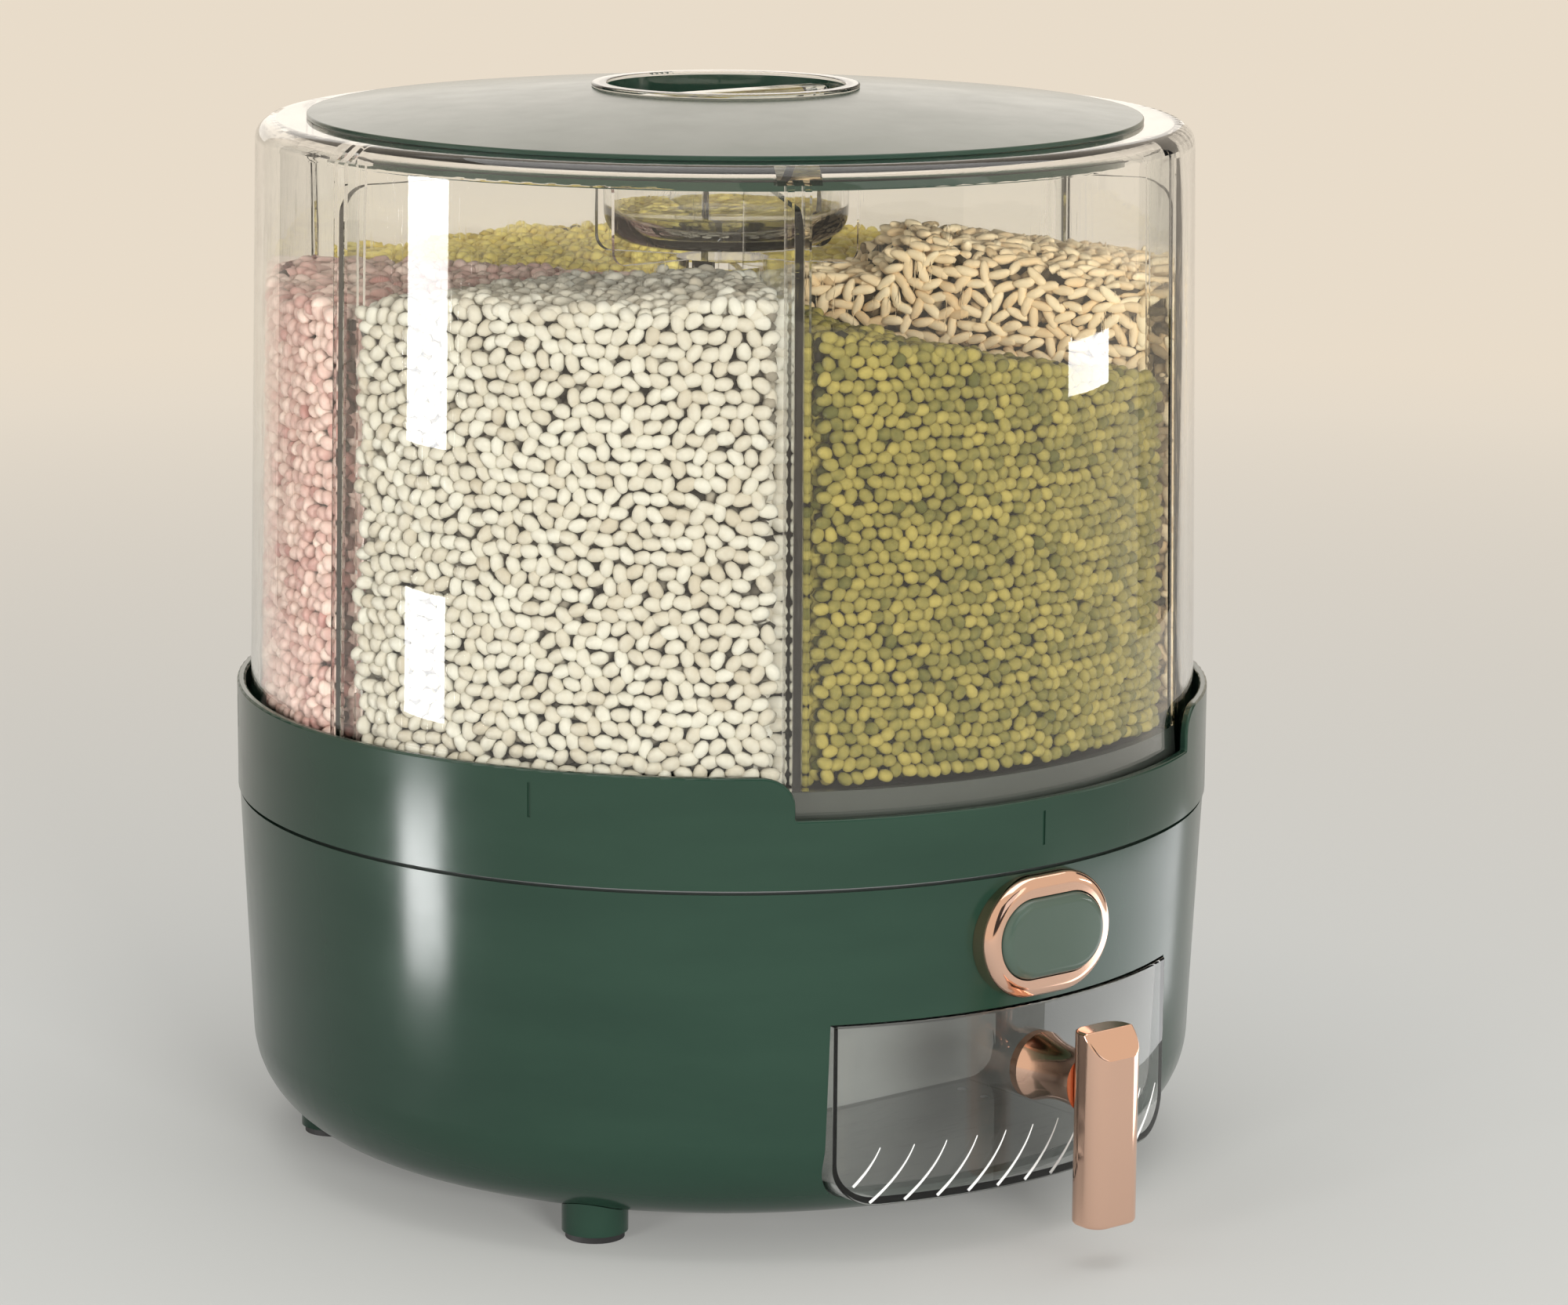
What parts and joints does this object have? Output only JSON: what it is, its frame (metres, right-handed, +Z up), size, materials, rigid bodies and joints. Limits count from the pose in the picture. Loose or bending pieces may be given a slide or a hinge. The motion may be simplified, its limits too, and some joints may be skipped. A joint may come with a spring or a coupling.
{
  "type": "rotating grain dispenser",
  "caption": "Countertop grain dispenser: a clear drum of compartments turns on a green base with a push-button gate, a catch drawer below and a lift-off lid.",
  "frame": {"origin": "on the counter, under the axis on which the drum turns", "axes": "+Z up along the drum's axis, -Y towards the drawer and button at the front, +X to the right of someone who stands in front and looks at the drawer"},
  "size_m": [0.2808, 0.3139, 0.3073],
  "materials": {
    "green_plastic": "satin gloss",
    "clear_plastic": "clear, polished",
    "clear_grip": "clear, polished",
    "rose_gold": "polished plating",
    "grey_plastic": "satin",
    "white_plastic": "satin",
    "soft_rubber": "matt",
    "steel": "bright"
  },
  "bodies": {
    "base": {"base_shell": "green_plastic", "base_floor": "grey_plastic", "base_screws": "steel", "foot_front_right": "green_plastic", "foot_front_left": "green_plastic", "foot_rear_right": "green_plastic", "foot_rear_left": "green_plastic", "foot_pad_front_right": "soft_rubber", "foot_pad_front_left": "soft_rubber", "foot_pad_rear_right": "soft_rubber", "foot_pad_rear_left": "soft_rubber", "collar": "green_plastic", "collar_screws": "steel", "deck": "grey_plastic", "deck_screws": "steel", "outlet_seal": "soft_rubber", "spindle": "steel", "spindle_washer": "steel", "spindle_screw": "steel", "drawer_bay": "grey_plastic", "bay_screws": "steel", "button_bezel": "rose_gold", "button_bracket": "white_plastic", "bracket_screws": "steel", "chute": "white_plastic", "chute_screws": "steel", "gate_pin": "steel"},
    "vessel": {"vessel_floor": "grey_plastic", "hub_bush": "white_plastic", "barrel": "clear_plastic", "divider": "clear_plastic"},
    "ball_ring": {"ball_cage": "white_plastic", "bearing_balls": "steel"},
    "lid": {"lid_shell": "green_plastic", "lid_seal": "soft_rubber", "well_cup": "clear_plastic", "grip_bar": "clear_grip", "grip_pins": "steel"},
    "drawer": {"drawer_cup": "clear_plastic", "handle_stem": "rose_gold", "handle_bar": "rose_gold", "handle_screw": "steel"},
    "button": {"button_cap": "green_plastic", "button_plunger": "white_plastic", "plunger_clip": "steel", "button_spring": "steel"},
    "gate": {"gate_flap": "white_plastic", "gate_pad": "soft_rubber", "gate_spring": "steel"}
  },
  "joints": [
    {"name": "vessel_spin", "type": "hinge", "parent": "base", "child": "vessel", "pos_m": [0, 0, 0.1104], "axis": [0, 0, 1], "continuous": true},
    {"name": "ball_ring_spin", "type": "hinge", "parent": "base", "child": "ball_ring", "pos_m": [0, 0, 0.1092], "axis": [0, 0, 1], "continuous": true},
    {"name": "lid_lift", "type": "slide", "parent": "vessel", "child": "lid", "axis": [0, 0, 1], "range_m": [0, 0.12]},
    {"name": "drawer_slide", "type": "slide", "parent": "base", "child": "drawer", "axis": [0, -1, 0], "range_m": [0, 0.085]},
    {"name": "button_press", "type": "slide", "parent": "base", "child": "button", "axis": [0, 1, 0], "range_m": [0, 0.006], "stiffness_N_per_m": 500, "springref_m": -0.003, "deforming": ["button_spring"]},
    {"name": "gate_swing", "type": "hinge", "parent": "base", "child": "gate", "pos_m": [0, -0.089, 0.077], "axis": [-1, 0, 0], "range_deg": [0, 34.91], "deforming": ["gate_spring"]}
  ],
  "couplings": [
    {"joint": "ball_ring_spin", "follows": "vessel_spin", "ratio": 0.5},
    {"joint": "gate_swing", "follows": "button_press", "rad_per_m": 101.56}
  ]
}
